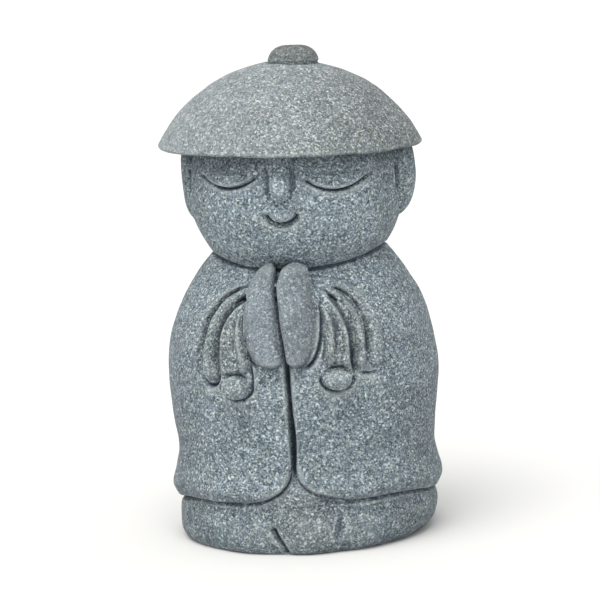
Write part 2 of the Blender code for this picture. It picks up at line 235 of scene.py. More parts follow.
def make_cloak():
    """Radius over height from the outline; the hem's lower edge waves round the figure, and the surface
    rounds over towards the edges of the opening."""
    angle = ring_angles(420)[None, :]
    share = np.concatenate([np.linspace(0, 0.12, 30)[:-1], np.linspace(0.12, 1, 170)])
    level = hem_height + (neck_height - hem_height) * share
    z = level[:, None] + (hem_line(angle) - hem_height) * (1 - share[:, None]) ** 8
    radius = cloak_radius(level)[:, None] + 0 * angle
    seen = body_points(angle, radius, z).reshape(-1, 3)[:, ::2]
    near = np.minimum(*(distance_to_line(seen, opening_outline(side))[0] for side in (-1, 1)))
    sink = edge_sink * np.clip(1 - near.reshape(z.shape) / edge_round, 0, 1) ** 2 * (np.cos(angle) > 0)
    sides = body_points(angle, radius - sink, z)
    cap = body_points(angle, cloak_cap_radius + 0 * angle, np.full((1, 1), neck_height + cloak_cap_rise))
    return stone_form("cloak", np.concatenate([sides, cap]))


def make_opening_cutter():
    """Rod of rectangular section that fills the opening from below the hem to the top of the slit, from well
    in front of the cloak to inside the robe."""
    left, right = opening_outline(-1)[::-1], opening_outline(1)[::-1]
    front, back = np.full(len(left), cutter_front), np.full(len(left), cutter_back)
    corners = [(left[:, 0], front), (right[:, 0], front), (right[:, 0], back), (left[:, 0], back)]
    return stone_form("opening_cutter", np.stack([np.stack([x, y, left[:, 1]], -1) for x, y in corners], 1))


# The head is a ball set into the neck ring, with long flat ears under the brim and a small straight nose.
# Lids, mouth and ear lines are scored into it once the whole figure is one surface.
head_radius = 22.1 * mm
head_rise = math.sqrt(head_radius**2 - float(cloak_radius(neck_height)) ** 2)
head_middle = np.array([shoulder_shift / 2, 0.0, neck_height + head_rise])
# Side, how far it stands out, how far back and how high each ear is.
ear_places = ((-1, 0.9 * mm, -2.6 * mm, 2.4 * mm), (1, 2.5 * mm, 0.2 * mm, 1.8 * mm))
ear_sink, ear_depth, ear_height = 2.0 * mm, 5.4 * mm, 9.4 * mm
nose_middle, nose_top, nose_length = -0.3, 7.9, 8.35
nose_proud = ((0, -0.7), (0.3, -0.3), (0.6, 0.1), (0.86, 0.6), (1, -0.5))
nose_width = ((0, 3.4), (0.25, 2.7), (0.5, 2.3), (0.78, 2.45), (0.94, 2.0), (1, 1.0))


def ball(name, middle, radii, columns=160, rows=80):
    """Ellipsoid: three radii times the sines and cosines of longitude and latitude."""
    angle = ring_angles(columns)[None, :]
    rise = np.linspace(-np.pi / 2, np.pi / 2, rows + 2)[1:-1, None]
    across, forward = np.cos(rise) * np.sin(angle), -np.cos(rise) * np.cos(angle)
    return stone_form(name, np.stack([across, forward, np.sin(rise) + 0 * angle], -1) * radii + middle)


def on_head(x, z, proud=0.0):
    """Point of the face at a width x and a height z from the head's middle, raised by proud."""
    x, z = np.broadcast_arrays(x, z)
    y = -np.sqrt(np.clip(head_radius**2 - x * x - z * z, 0, None))
    return head_middle + np.stack([x, y, z], -1) * (1 + np.asarray(proud) / head_radius)[..., None]


def make_ears():
    """Two tall ellipsoids, sunk so deep that only a long flat lobe stands out of the head."""
    ears = []
    for side, proud, back, rise in ear_places:
        middle = head_middle + np.array([side * (head_radius - ear_sink), back, rise])
        ears.append(ball("ear", middle, np.array([ear_sink + proud, ear_depth, ear_height])))
    return ears


def rope(name, path, across, outward, out):
    """Rod along a path: an oval section in the plane of the outward direction and the side direction, with
    a half width and a half height at each point of the path."""
    forward = np.gradient(path, axis=0)
    forward /= np.linalg.norm(forward, axis=1)[:, None]
    side = np.cross(forward, outward)
    side /= np.linalg.norm(side, axis=1)[:, None]
    lift = np.cross(side, forward)
    turn = ring_angles(28)[None, :, None]
    across = np.broadcast_to(across, len(path))[:, None, None]
    out = np.broadcast_to(out, len(path))[:, None, None]
    grid = path[:, None] + side[:, None] * across * np.sin(turn) + lift[:, None] * out * np.cos(turn)
    return stone_form(name, grid)


def make_nose():
    """A rod down the face, broad where it meets the brow and full at the tip, whose end is rounded off."""
    t = np.linspace(0, 1, 50)
    proud = soft_curve(nose_proud, t) * mm
    path = on_head(nose_middle * mm + 0 * t, (nose_top - nose_length * t) * mm, proud)
    width = soft_curve(nose_width, t) * mm
    return rope("nose", path, width, path - head_middle, 0.75 * width + 0.5 * mm)


# The hat is a shallow round dome with a soft rim and a low knob on its crown. It is cast on the head,
# turned a little to the viewer's right, and its underside is slightly hollow.
hat_radius, hat_rise = 26.9 * mm, 16.7 * mm
brim_round, brim_drop, brim_hollow = 1.3 * mm, 0.6 * mm, 1.1 * mm
hat_tilt, hat_nod = math.radians(1.2), math.radians(-0.8)
hat_seat = head_middle + np.array([-0.75 * mm, 0.0, 8.0 * mm])
knob_radius, knob_rise, knob_root = 5.4 * mm, 3.0 * mm, 1.4 * mm
knob_seat = hat_seat + np.array([1.1 * mm, 0.0, 0.0])


def hat_points(radius, z, middle, columns):
    """A profile of radii and heights turned about an upright line through middle, and tilted as the hat is."""
    angle = ring_angles(columns)[None, :]
    r = radius[:, None]
    grid = np.stack([r * np.sin(angle), -r * np.cos(angle), z[:, None] + 0 * angle], -1)
    tilt = np.array(Matrix.Rotation(hat_tilt, 3, "Y") @ Matrix.Rotation(hat_nod, 3, "X"))
    return grid @ tilt.T + middle


def make_hat():
    """From below: the hollow underside as a bell, the rim as a low quarter oval, then the cap of a sphere."""
    dome = (hat_radius**2 + hat_rise**2) / (2 * hat_rise)
    arc = np.linspace(math.atan2(hat_radius, dome - hat_rise), 0, 90)[1:-1]
    rim = np.linspace(-np.pi / 2, 0, 12)
    under = np.linspace(0.1, 1, 20)[:-1] * (hat_radius - brim_round)
    hollow = -brim_drop + brim_hollow * bell(under / hat_radius)
    r = np.concatenate([under, hat_radius - brim_round * (1 - np.cos(rim)), dome * np.sin(arc)])
    z = np.concatenate([hollow, brim_drop * np.sin(rim), hat_rise - dome * (1 - np.cos(arc))])
    return stone_form("hat", hat_points(r, z, hat_seat, 260))


def make_knob():
    """A button: a flat oval top that rounds over into nearly upright sides, as powers of cosine and sine."""
    turn = np.linspace(0, np.pi / 2, 30)[:-1]
    r = knob_radius * np.concatenate([[0.6, 1.0], np.cos(turn) ** 0.55])
    top = (knob_rise + knob_root) * np.sin(turn) ** 0.9
    z = hat_rise - knob_root + np.concatenate([[-1.4 * mm, -1.2 * mm], top])
    return stone_form("knob", hat_points(r, z, knob_seat, 120))


# The hands are pressed palm to palm before the chest and lean back to the chin, two smooth leaves with a
# deep split between them. The sleeves' mass behind them joins them to the chest.
hand_length, hand_foot = 19.6 * mm, 38.4 * mm
hand_reach, hand_lean, hand_depth = 24.4 * mm, 6.3 * mm, 4.1 * mm
hand_turn = {-1: 0.22, 1: 0.42}
hand_squareness = 2.5
# The inner and the outer edge of each hand: share of the way up, and width.
hand_edges = {
    -1: (
        (
            (-0.02, -1.0), (0.06, -0.50), (0.24, -1.10), (0.46, -1.72), (0.68, -2.20), (0.80, -2.25),
            (0.92, -2.15), (1.0, -2.3),
        ), (
            (-0.02, -3.9), (0.04, -6.2), (0.15, -7.7), (0.31, -8.45), (0.49, -8.60), (0.63, -8.35),
            (0.75, -7.8), (0.87, -6.7), (0.96, -5.3), (1.0, -4.8),
        ),
    ),
    1: (
        (
            (-0.02, 0.9), (0.06, 0.00), (0.24, -0.60), (0.46, -1.20), (0.65, -1.65), (0.78, -1.85),
            (0.88, -1.40), (1.0, -0.5),
        ), (
            (-0.02, 2.8), (0.04, 4.4), (0.15, 5.7), (0.28, 6.35), (0.45, 6.45), (0.61, 5.95),
            (0.77, 5.1), (0.93, 4.1), (1.0, 3.5),
        ),
    ),
}
wrist_shift, wrist_width = np.array([-1.0 * mm, 4.6 * mm, 0]), 5.4 * mm


def hand_axis(t):
    """Points of the hands' middle at a share t of the way up: a straight line that leans back."""
    return np.stack([0 * t, -hand_reach + hand_lean * t, hand_foot + hand_length * t], -1)


def round_end(t, least):
    """From 1 to nearly 0 over the last seven hundredths of the way, as a quarter circle."""
    return np.sqrt(np.clip(1 - np.clip((t - 0.93) / 0.07, 0, 1) ** 2, least, 1))


def make_hand(side):
    """A leaf along the hands' axis between its inner and outer edge: an oval section squared off by a power,
    whose depth follows the width, with round ends."""
    t = -0.02 + 1.02 * (1 - np.cos(np.linspace(0, np.pi, 120))) / 2
    inner, outer = (soft_curve(edge, t) * mm for edge in hand_edges[side])
    ends = round_end(t, 1e-4) * np.sqrt(np.clip((t + 0.021) / 0.06, 1e-3, 1))
    half = np.abs(outer - inner) / 2 * ends
    turn = ring_angles(72)[None, :]
    power = 2 / hand_squareness
    across = np.sign(np.sin(turn)) * np.abs(np.sin(turn)) ** power * half[:, None]
    depth = hand_depth * (1 - 0.30 * ease((t - 0.55) / 0.45)) * ends
    deep = -np.sign(np.cos(turn)) * np.abs(np.cos(turn)) ** power * depth[:, None]
    middle = hand_axis(t)
    x = (inner + outer)[:, None] / 2 + across
    turned_away = hand_turn[side] * side * across * ends[:, None]
    return stone_form("hand", np.stack([x, middle[:, 1:2] + deep + turned_away, middle[:, 2:] + 0 * turn], -1))


def make_wrists():
    """A thick rod behind the hands that tapers upwards and ends below their tips."""
    t = np.linspace(0.02, 0.72, 40)
    width = wrist_width * (1 - 0.45 * t)
    return rope("wrists", hand_axis(t) + wrist_shift, width, np.tile([0.0, -1.0, 0.0], (40, 1)), 0.8 * width)


# The sleeves hang from the wrists in rolled folds, which swing out on each side and drop to blunt ends. The
# inner folds lie on a broad flat band that ends on a round cuff; the outer ones end higher, side by side.
fold_lines = {
    "left_band": ((-6.0, 50.4), (-9.0, 48.6), (-10.7, 45.6), (-11.2, 41.5), (-10.6, 36.9)),
    "left_inner": ((-7.0, 49.4), (-8.5, 47.9), (-9.0, 45.6), (-9.0, 43.2), (-8.7, 40.6), (-8.5, 36.9)),
    "left_middle": (
        (-7.0, 50.6), (-9.0, 49.6), (-10.8, 48.0), (-12.0, 46.0), (-12.6, 43.9), (-12.8, 41.6), (-12.7, 39.2),
        (-12.4, 36.8),
    ),
    "left_rolled": (
        (-6.2, 52.9), (-8.2, 52.2), (-10.1, 51.2), (-12.0, 49.4), (-13.7, 47.1), (-14.8, 44.7), (-15.4, 41.7),
        (-15.6, 39.0), (-15.5, 35.2),
    ),
    "left_outer": (
        (-6.4, 53.9), (-8.4, 53.6), (-11.1, 52.7), (-13.7, 51.1), (-15.9, 48.7), (-17.5, 46.0), (-18.3, 43.2),
        (-18.7, 40.7), (-18.6, 37.6),
    ),
    "right_band": ((4.8, 51.4), (7.4, 49.6), (9.5, 46.8), (10.5, 42.9), (10.4, 38.0)),
    "right_inner": ((5.2, 50.7), (6.9, 49.3), (8.2, 47.3), (8.8, 44.6), (8.9, 41.4), (8.5, 38.2)),
    "right_middle": (
        (4.2, 52.6), (6.6, 51.8), (8.5, 50.0), (10.0, 47.6), (11.1, 45.2), (11.6, 42.6), (11.7, 40.2),
        (11.6, 37.6),
    ),
    "right_rolled": (
        (4.2, 53.6), (6.6, 53.0), (9.3, 51.6), (11.6, 49.4), (13.2, 46.8), (14.0, 44.0), (14.3, 41.0),
        (14.3, 37.2),
    ),
    "right_outer": (
        (4.6, 54.0), (7.5, 53.6), (10.2, 52.8), (12.7, 51.2), (14.9, 48.9), (16.4, 46.2), (17.1, 43.2),
        (17.2, 40.2), (17.0, 37.4),
    ),
}
# Half width at the start, full half width, and how far the fold stands out.
fold_sizes = {
    "left_band": (1.6, 3.0, 0.8), "left_inner": (0.7, 1.05, 1.5), "left_middle": (0.6, 0.80, 1.1),
    "left_rolled": (0.8, 1.30, 2.0), "left_outer": (0.5, 0.80, 0.9),
    "right_band": (1.6, 2.9, 0.8), "right_inner": (0.6, 0.80, 1.4), "right_middle": (0.6, 0.95, 1.5),
    "right_rolled": (0.7, 1.00, 1.7), "right_outer": (0.8, 1.55, 1.7),
}
rolled_end_swell = 0.4 * mm
# Width and height of each cuff's middle, then its half width and half height.
cuffs = ((-10.3, 34.3, 2.95, 2.35), (10.1, 35.5, 3.0, 2.0))
cuff_depth, cuff_proud = 2.7, 0.6 * mm


def cloak_front(x, z):
    """Points of the cloak's front at widths x and heights z, and the outward direction there."""
    shifted = x - shoulder_shift * figure_share(z) ** 4
    reach = np.sqrt(np.clip(cloak_radius(z) ** 2 - shifted**2, 0, None))
    depth = front_depth(z)
    outward = np.stack([shifted, -reach / depth, 0 * x], -1)
    outward /= np.linalg.norm(outward, axis=-1)[..., None]
    return np.stack([x, -depth * reach, z], -1), outward


def make_folds():
    """Each fold is a rod that lies half sunk in the cloak, widens as it falls and has a rounded lower end.
    Each cuff is an ellipsoid at the end of a band."""
    pieces = []
    for name, knots in fold_lines.items():
        line = through(knots)
        path, outward = cloak_front(line[:, 0], line[:, 1])
        start, full, out = (size * mm for size in fold_sizes[name])
        t = np.linspace(0, 1, len(line))
        end = round_end(t, 0.05)
        width = start + (full - start) * ease(t / 0.45)
        if name == "left_rolled":
            width = width + rolled_end_swell * bell((t - 0.93) / 0.12)
        pieces.append(rope(name, path, width * end, outward, out * end * (0.7 + 0.3 * ease(t / 0.3))))
    for x, z, half, high in cuffs:
        place, outward = cloak_front(np.array([x * mm]), np.array([z * mm]))
        radii = np.array([half, cuff_depth, high]) * mm
        pieces.append(ball("cuff", place[0] + outward[0] * cuff_proud, radii, 60, 30))
    return pieces


# The casting: all forms are fused into one skin, its creases softened as a mould softens them, and the
# fine lines are scored in. It replaces the plain solid and rides on the only body.
grain_of_skin = 0.21 * mm
skin_triangles = 190000


def carry_out(piece):
    """Carries out the piece's modifiers on its own mesh."""
    bpy.context.view_layer.update()
    result = piece.evaluated_get(bpy.context.evaluated_depsgraph_get())
    mesh = bpy.data.meshes.new_from_object(result)
    piece.modifiers.clear()
    piece.data = mesh


def joined(name, pieces):
    """One object that holds the meshes of all pieces."""
    work = bmesh.new()
    for piece in pieces:
        work.from_mesh(piece.data)
        bpy.data.objects.remove(piece, do_unlink=True)
    mesh = bpy.data.meshes.new(name)
    work.to_mesh(mesh)
    work.free()
    return placed(name, mesh)


def cut_away(piece, cutter):
    """Takes the cutter's form out of the piece."""
    cut = piece.modifiers.new("cut", "BOOLEAN")
    cut.operation = "DIFFERENCE"
    cut.solver = "MANIFOLD"
    cut.object = cutter
    carry_out(piece)
    bpy.data.objects.remove(cutter, do_unlink=True)


cloak = make_cloak()
cut_away(cloak, make_opening_cutter())
head = ball("head", head_middle, head_radius, 300, 150)
forms = [make_under_robe(), cloak, head, make_nose(), make_hat(), make_knob(), make_wrists()]
forms += [make_hand(-1), make_hand(1)] + make_ears() + make_folds()
monk = joined("monk", forms)
fuse = monk.modifiers.new("fuse", "REMESH")
fuse.mode = "VOXEL"
fuse.voxel_size = grain_of_skin
soften = monk.modifiers.new("soften", "SMOOTH")
soften.factor = 0.5
soften.iterations = 5
carry_out(monk)

# What each tool cuts: the groove's half width, its depth and the length over which its ends run out.
eye_cut, nose_cut, mouth_cut = (0.55, 1.0, 1.4), (1.15, 0.42, 3.5), (0.88, 1.6, 1.2)
ear_cut, neck_cut, knob_cut = (0.45, 0.55, 1.2), (0.70, 0.45, 0.0), (0.55, 0.35, 0.0)
cuff_cut, split_cut, slit_cut = (0.50, 0.75, 0.9), (0.42, 1.5, 0.0), (0.85, 1.8, 3.2)
edge_cut, hem_cut = (0.60, 0.70, 0.6), (0.95, 0.85, 3.0)
toe_crease_cut, toe_notch_cut = (1.3, 0.95, 2.5), (0.90, 1.3, 1.0)
fold_run_out = 2.4

# Each eye: width of its middle, height of its corners, half width and how far the lid's edge sags.
eye_places = {-1: (-11.2, 3.85, 6.4, 2.6), 1: (10.7, 3.15, 6.5, 2.8)}
lid_swell, rim_swell, brow_dip, cheek_swell = 0.80, 0.30, 0.35, 0.15
mouth_middle, mouth_height, mouth_half, mouth_sag = -0.3, -3.4, 3.4, 2.8
pad_height, pad_half, pad_half_height, pad_swell = -4.1, 3.0, 2.1, 0.75
nose_foot = (
    (-3.6, 6.6), (-3.2, 4.8), (-3.1, 3.0), (-2.9, 1.2), (-1.8, -0.3), (-0.3, -0.8), (1.2, -0.3), (2.3, 1.2),
    (2.5, 3.0), (2.6, 4.8), (3.0, 6.6),
)
ear_lines = {1: ((21.5, 76.2), (21.7, 73.7), (21.7, 70.2)), -1: ((-20.1, 76.6), (-20.3, 74.0), (-19.8, 70.4))}
# The lines between and beside the folds, each with its half width and depth.
fold_grooves = (
    ((
        (-7.2, 51.6), (-8.7, 51.0), (-10.4, 50.0), (-11.9, 48.5), (-13.2, 46.6), (-14.0, 44.5), (-14.3, 42.0),
        (-14.3, 39.4), (-14.0, 36.6), (-14.5, 35.0), (-15.6, 34.3), (-16.8, 34.8), (-17.3, 36.2),
    ), 0.62, 1.4),
    ((
        (-9.0, 53.2), (-10.7, 52.5), (-13.0, 51.1), (-14.7, 49.2), (-16.1, 47.2), (-16.9, 45.3), (-17.4, 42.9),
        (-17.6, 40.6), (-17.4, 37.0),
    ), 0.50, 1.0),
    (((-12.0, 39.6), (-11.5, 38.3), (-10.9, 37.3)), 0.36, 0.6),
    (((-12.8, 36.3), (-11.3, 36.7), (-9.6, 36.8), (-7.8, 36.2)), 0.34, 0.5),
    (((-10.3, 48.0), (-10.8, 45.6), (-11.0, 43.0), (-10.9, 40.6)), 0.9, 0.6),
    ((
        (7.2, 52.1), (8.2, 51.6), (9.3, 50.7), (10.8, 48.9), (12.0, 46.8), (12.8, 44.2), (13.1, 40.9),
        (13.2, 38.2), (13.4, 36.4),
    ), 0.60, 1.3),
    ((
        (8.2, 53.0), (10.9, 52.1), (13.1, 50.3), (14.5, 48.4), (15.4, 46.2), (15.8, 43.2), (15.9, 39.4),
    ), 0.42, 0.8),
    (((7.3, 37.5), (9.0, 37.9), (10.9, 37.9), (12.6, 37.3)), 0.34, 0.5),
    (((8.7, 48.8), (9.9, 46.3), (10.2, 43.2), (10.1, 39.8)), 0.8, 0.6),
    (((7.4, 46.4), (7.7, 43.4), (7.6, 40.8), (7.0, 38.6)), 0.5, 0.7),
    (((13.3, 36.6), (14.8, 36.3), (16.6, 36.1), (18.4, 36.7)), 0.50, 0.7),
    (((13.2, 42.4), (13.4, 40.0), (13.4, 37.6), (13.6, 35.6)), 0.75, 1.5),
    (((-7.5, 40.4), (-7.2, 38.2), (-7.0, 35.8), (-7.3, 33.2)), 0.50, 0.9),
)
hand_split = ((0.2, 37.6), (-0.1, 39.5), (-0.75, 43.2), (-1.40, 47.4), (-1.85, 51.6), (-2.0, 53.4))
hand_sides = (
    (((-8.9, 49.5), (-9.1, 46.0), (-8.9, 43.0), (-8.2, 40.7), (-6.9, 39.0), (-5.0, 38.0)), 0.60, 1.2),
    (((-8.9, 45.5), (-8.6, 42.6), (-7.8, 40.2), (-6.4, 38.6)), 0.95, 1.5),
    (((6.6, 51.5), (7.2, 48.5), (7.3, 45.5), (7.0, 42.8), (6.2, 40.4), (4.9, 38.6), (2.9, 37.8)), 0.70, 1.4),
)
slit_line = ((0.1, 40.0), (0.3, 33.0), (0.55, 26.0), (0.5, 20.0), (0.4, 14.2))
edge_low, edge_high, edge_shift = 10.2 * mm, 18 * mm, 0.15 * mm
toe_crease = ((9.7, 8.6), (9.5, 6.8), (9.0, 4.6), (8.6, 2.2))
toe_notch = ((-4.5, 6.0), (-3.5, 3.7), (-2.1, 1.4), (-1.2, -0.8))
hem_gap = 0.36
# The surface's unevenness: the length and the height of its waves, how many of each, and their seed.
skin_waves, waves_of_each, wave_seed = ((11.0, 0.027), (4.5, 0.0135)), 9, 7
eyes_front, features_front, skin_front = -8 * mm, -15 * mm, -6 * mm
ground_reach, ground_level = 0.7 * mm, 0.05 * mm


def mesh_arrays(mesh):
    """Vertex places and normals of a mesh as two arrays of three columns."""
    places = np.empty(len(mesh.vertices) * 3, np.float32)
    normals = np.empty(len(mesh.vertices) * 3, np.float32)
    mesh.vertices.foreach_get("co", places)
    mesh.vertex_normals.foreach_get("vector", normals)
    return places.reshape(-1, 3).astype(float), normals.reshape(-1, 3).astype(float)


def score(places, push, line, cut, chosen=True):
    """Adds a groove under a line, of widths and heights on the front or of points in space: the push is a
    bell of the distance from the line over the half width, and eases out towards both ends."""
    half_width, depth, run_out = (size * mm for size in cut)
    low, high = line.min(0) - half_width, line.max(0) + half_width
    seen = places if line.shape[1] == 3 else places[:, ::2]
    near = np.flatnonzero(chosen & ((seen > low) & (seen < high)).all(1))
    distance, from_end = distance_to_line(seen[near], line)
    fall = bell(distance / half_width)
    if run_out:
        fall = fall * ease(from_end / run_out)
    push[near] = np.minimum(push[near], -depth * fall)


def eye_line(side):
    """The closed lid's edge: it hangs as a parabola from corner to corner of the eye, like a slack string."""
    middle, corner, half, sag = eye_places[side]
    t = np.linspace(-1, 1, 40)
    return np.stack([middle + half * t, corner - sag * (1 - t * t) + 0 * t], -1) * mm + head_middle[::2]


def mouth_line():
    """The lower part of an oval."""
    t = np.linspace(-1.5, 1.5, 30)
    across, up = mouth_middle + mouth_half * np.sin(t), mouth_height - mouth_sag * np.cos(t)
    return np.stack([across, up], -1) * mm + head_middle[::2]


def neck_crease():
    """Closed line round the neck where the cloak meets the ball of the head: for each angle, the height at
    which the cloak's surface is nearest to the ball's."""
    angle = ring_angles(160)[:, None]
    z = np.linspace(neck_height - 6 * mm, neck_height + 1.4 * mm, 160)[None, :]
    points = body_points(angle + 0 * z, cloak_radius(z) + 0 * angle, z + 0 * angle)
    nearest = np.abs(np.linalg.norm(points - head_middle, axis=-1) - head_radius).argmin(1)
    line = points[np.arange(160), nearest]
    return np.concatenate([line, line[:1]])


def hem_crease():
    """Line under the hem, all round but for the opening."""
    angle = np.linspace(hem_gap, 2 * np.pi - hem_gap, 220)
    return body_points(angle, np.full(220, robe_radius - 0.5 * mm), hem_line(angle) - 0.1 * mm)


def knob_crease():
    """Closed line round the foot of the knob."""
    line = hat_points(np.array([knob_radius]), np.array([hat_rise - 0.35 * mm]), knob_seat, 60)[0]
    return np.concatenate([line, line[:1]])


def cuff_line(x, z, half, high):
    """The lower half of an oval a little outside the cuff."""
    turn = np.linspace(-0.4, np.pi + 0.4, 24)
    return np.stack([x + (half + 0.3) * np.cos(turn), z - (high + 0.3) * np.sin(turn)], -1) * mm


def corner_line(side):
    """The part of the opening's edge that runs round the corner of the cloak, moved a little inwards."""
    edge = opening_outline(side)
    low_part = (edge[:, 1] > edge_low) & (edge[:, 1] < edge_high)
    return edge[low_part] - np.array([side * edge_shift, edge_shift])


def add_lids(places, push):
    """A lid swells over its line and fades towards a slight hollow under the brow, and the cheek swells a
    little under it: products of a bell across the eye and eased steps up and down from the line."""
    local = places - head_middle
    for middle, corner, half, sag in eye_places.values():
        t = (local[:, 0] / mm - middle) / (half + 0.4)
        above = local[:, 2] / mm - (corner - sag * (1 - t * t))
        lid = bell(t) * ease(above / 0.5) * (1 - ease((above - 0.8) / 3.0))
        brow = bell(t) * bell((above - 5.2) / 2.6)
        cheek = bell(t) * ease(-above / 0.4) * (1 - ease((-above - 0.6) / 2.5))
        rim = ease(1.1 - np.abs(t)) * bell((above - 0.55) / 0.55)
        swell = lid_swell * lid + rim_swell * rim - brow_dip * brow + cheek_swell * cheek
        push += mm * swell * (local[:, 1] < eyes_front)


def add_mouth_pad(places, push):
    """A low oval swell round the mouth: a bell of the distance from its middle."""
    local = places - head_middle
    across = (local[:, 0] - mouth_middle * mm) / (pad_half * mm)
    up = (local[:, 2] - pad_height * mm) / (pad_half_height * mm)
    push += pad_swell * mm * bell(np.hypot(across, up)) * (local[:, 1] < features_front)


def add_waves(places, push):
    """The hand-made unevenness of the surface: a sum of long shallow waves in fixed chance directions."""
    chance = np.random.default_rng(wave_seed)
    for length, height in skin_waves:
        for _ in range(waves_of_each):
            way = chance.normal(size=3)
            way *= 2 * np.pi / (length * mm * chance.uniform(0.75, 1.35)) / np.linalg.norm(way)
            push += height * mm * np.sin(places @ way + chance.uniform(0, 2 * np.pi))


def carve(mesh):
    """Moves every vertex: lines on the face along its normal, the grooves of folds, hands and hem straight
    in towards the figure's axis, and lids, pad and waves along the normal again."""
    places, normals = mesh_arrays(mesh)
    facing = (places[:, 1] < skin_front) & (normals[:, 1] < 0.1)
    inward = places * (1, 1, 0) / np.maximum(np.linalg.norm(places[:, :2], axis=1), 0.1 * mm)[:, None]
    push, deep = np.zeros(len(places)), np.zeros(len(places))
    for side in (-1, 1):
        score(places, push, eye_line(side), eye_cut, facing)
    score(places, push, through(nose_foot) + head_middle[::2], nose_cut, facing)
    score(places, push, mouth_line(), mouth_cut, facing)
    score(places, push, neck_crease(), neck_cut)
    score(places, push, knob_crease(), knob_cut)
    for side, line in ear_lines.items():
        score(places, push, through(line), ear_cut, (places[:, 0] * side > 16 * mm) & (places[:, 1] < 0))
    add_lids(places, push)
    add_mouth_pad(places, push)
    add_waves(places, push)
    for knots, half_width, depth in fold_grooves + hand_sides:
        score(places, deep, through(knots), (half_width, depth, fold_run_out), facing)
    for cuff in cuffs:
        score(places, deep, cuff_line(*cuff), cuff_cut, facing)
    score(places, deep, through(hand_split), split_cut, facing)
    score(places, deep, through(slit_line), slit_cut, facing)
    for side in (-1, 1):
        score(places, deep, corner_line(side), edge_cut, facing)
    score(places, deep, hem_crease(), hem_cut)
    score(places, deep, through(toe_crease), toe_crease_cut, facing)
    score(places, deep, through(toe_notch), toe_notch_cut, facing)
    off_ground = ease(places[:, 2] / ground_reach)[:, None]
    places += off_ground * (normals * push[:, None] + inward * deep[:, None])
    places[:, 2] = np.where(places[:, 2] < ground_level, 0.0, places[:, 2])
    mesh.vertices.foreach_set("co", places.astype(np.float32).ravel())
    mesh.update()


def clear_twins(mesh):
    """Thinning can leave two triangles back to back on the same three vertices: both are taken out."""
    work = bmesh.new()
    work.from_mesh(mesh)
    alike = {}
    for face in work.faces:
        alike.setdefault(frozenset(vertex.index for vertex in face.verts), []).append(face)
    twins = [face for faces in alike.values() if len(faces) > 1 for face in faces]
    bmesh.ops.delete(work, geom=twins, context="FACES")
    work.to_mesh(mesh)
    work.free()


carve(monk.data)
thin = monk.modifiers.new("thin", "DECIMATE")
thin.ratio = min(1.0, skin_triangles / sum(len(face.vertices) - 2 for face in monk.data.polygons))
carry_out(monk)
clear_twins(monk.data)
monk.data.shade_smooth()

# Rounds of averaging over neighbours that make the near and the wide surroundings of a vertex.
surroundings = {6: "hollow_near", 40: "hollow_wide"}
hat_pale, hat_dark, knob_dark = 0.16, 0.14, 0.58
# The darkening of brow, ears, sides, foot, toes and right hand is painted shade, and that of the sleeves is
# grime with painted shade.
cheek_pale, brow_brim_shade, ear_brim_shade = 0.18, 0.36, 0.26
all_over_pale, side_shade, foot_shade = 0.05, 0.13, 0.15
sleeve_grime_and_shade, toe_shade, hand_shade = 0.16, 0.08, 0.24
sleeve_warmth, toe_warmth = 0.7, 0.5
hat_smoothness, hat_smoothness_fall = 0.55, 0.45


def keep(mesh, name, values):
    """Stores one value for each vertex under a name, for the material to read."""
    mesh.attributes.new(name, "FLOAT", "POINT").data.foreach_set("value", values.astype(np.float32))


def keep_hollows(mesh):
    """Two values for the colour, which lays a dark wash with painted shade in the hollows and wear with a
    painted highlight on the edges: how far each vertex lies under the mean of its near and of its wide
    surroundings, in millimetres, taken along its normal. Hollows are above 0, edges below."""
    places, normals = mesh_arrays(mesh)
    ends = np.empty(len(mesh.edges) * 2, np.int32)
    mesh.edges.foreach_get("vertices", ends)
    ends = np.concatenate([ends.reshape(-1, 2), ends.reshape(-1, 2)[:, ::-1]])
    here, beside = ends.T
    count = np.bincount(here, minlength=len(places))
    mean = places.copy()
    for step in range(1, max(surroundings) + 1):
        mean = np.stack([np.bincount(here, mean[beside, axis], len(places)) / count for axis in range(3)], -1)
        if step in surroundings:
            keep(mesh, surroundings[step], ((mean - places) * normals).sum(1) / mm)


def on_hands(places):
    """True where a place lies on the front of a hand."""
    t = (places[:, 2] - hand_foot) / hand_length
    found = np.zeros(len(places), bool)
    for inner, outer in hand_edges.values():
        edges = np.sort([soft_curve(inner, t) * mm, soft_curve(outer, t) * mm], axis=0)
        found |= (places[:, 0] > edges[0]) & (places[:, 0] < edges[1])
    return found & (t > 0) & (t < 1) & (places[:, 1] < hand_axis(t)[:, 1] - 1 * mm)


